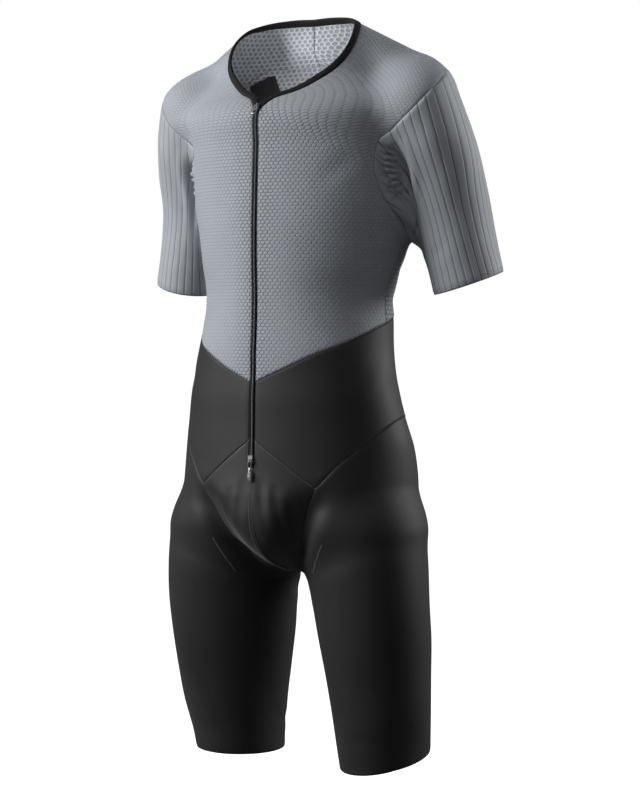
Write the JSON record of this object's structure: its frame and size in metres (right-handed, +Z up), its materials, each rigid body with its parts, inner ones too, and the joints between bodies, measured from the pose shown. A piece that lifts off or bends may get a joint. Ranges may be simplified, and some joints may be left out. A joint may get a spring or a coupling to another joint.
{
  "type": "cycling skinsuit",
  "caption": "Short-sleeved one-piece cycling skinsuit with ribbed sleeves, a full front zip and black lower panels, standing open in its worn shape.",
  "frame": {"origin": "middle of the wearer's shoulders, at the height of the seams on top of the sleeves", "axes": "+Z up, -Y to the front of the garment, +X to the wearer's left"},
  "size_m": [0.5342, 0.2463, 0.9881],
  "materials": {
    "mesh": "matt honeycomb knit",
    "rib": "matt ribbed knit",
    "lycra": "smooth stretch cloth with a low sheen",
    "trim": "flat woven tape",
    "dark_metal": "satin",
    "silver": "polished"
  },
  "bodies": {
    "suit": {"front_left": "mesh", "front_right": "mesh", "back": "mesh", "waist_left": "lycra", "waist_right": "lycra", "crotch_left": "lycra", "crotch_right": "lycra", "leg_left": "lycra", "leg_right": "lycra", "sleeve_left": "rib", "sleeve_right": "rib", "neck_binding": "trim", "inner_patch": "trim", "zip_chain": "trim", "zip_slider_top": "dark_metal", "zip_slider_foot": "dark_metal"},
    "top_pull": {"zip_pull_top": "dark_metal"},
    "foot_pull": {"zip_pull_foot": "silver"}
  },
  "joints": [
    {"name": "top_pull_swing", "type": "hinge", "parent": "suit", "child": "top_pull", "pos_m": [0, -0.10375, -0.04988], "axis": [-1, 0, 0], "range_deg": [0, 120]},
    {"name": "foot_pull_swing", "type": "hinge", "parent": "suit", "child": "foot_pull", "pos_m": [0, -0.1178, -0.5038], "axis": [-1, 0, 0], "range_deg": [0, 120]}
  ]
}
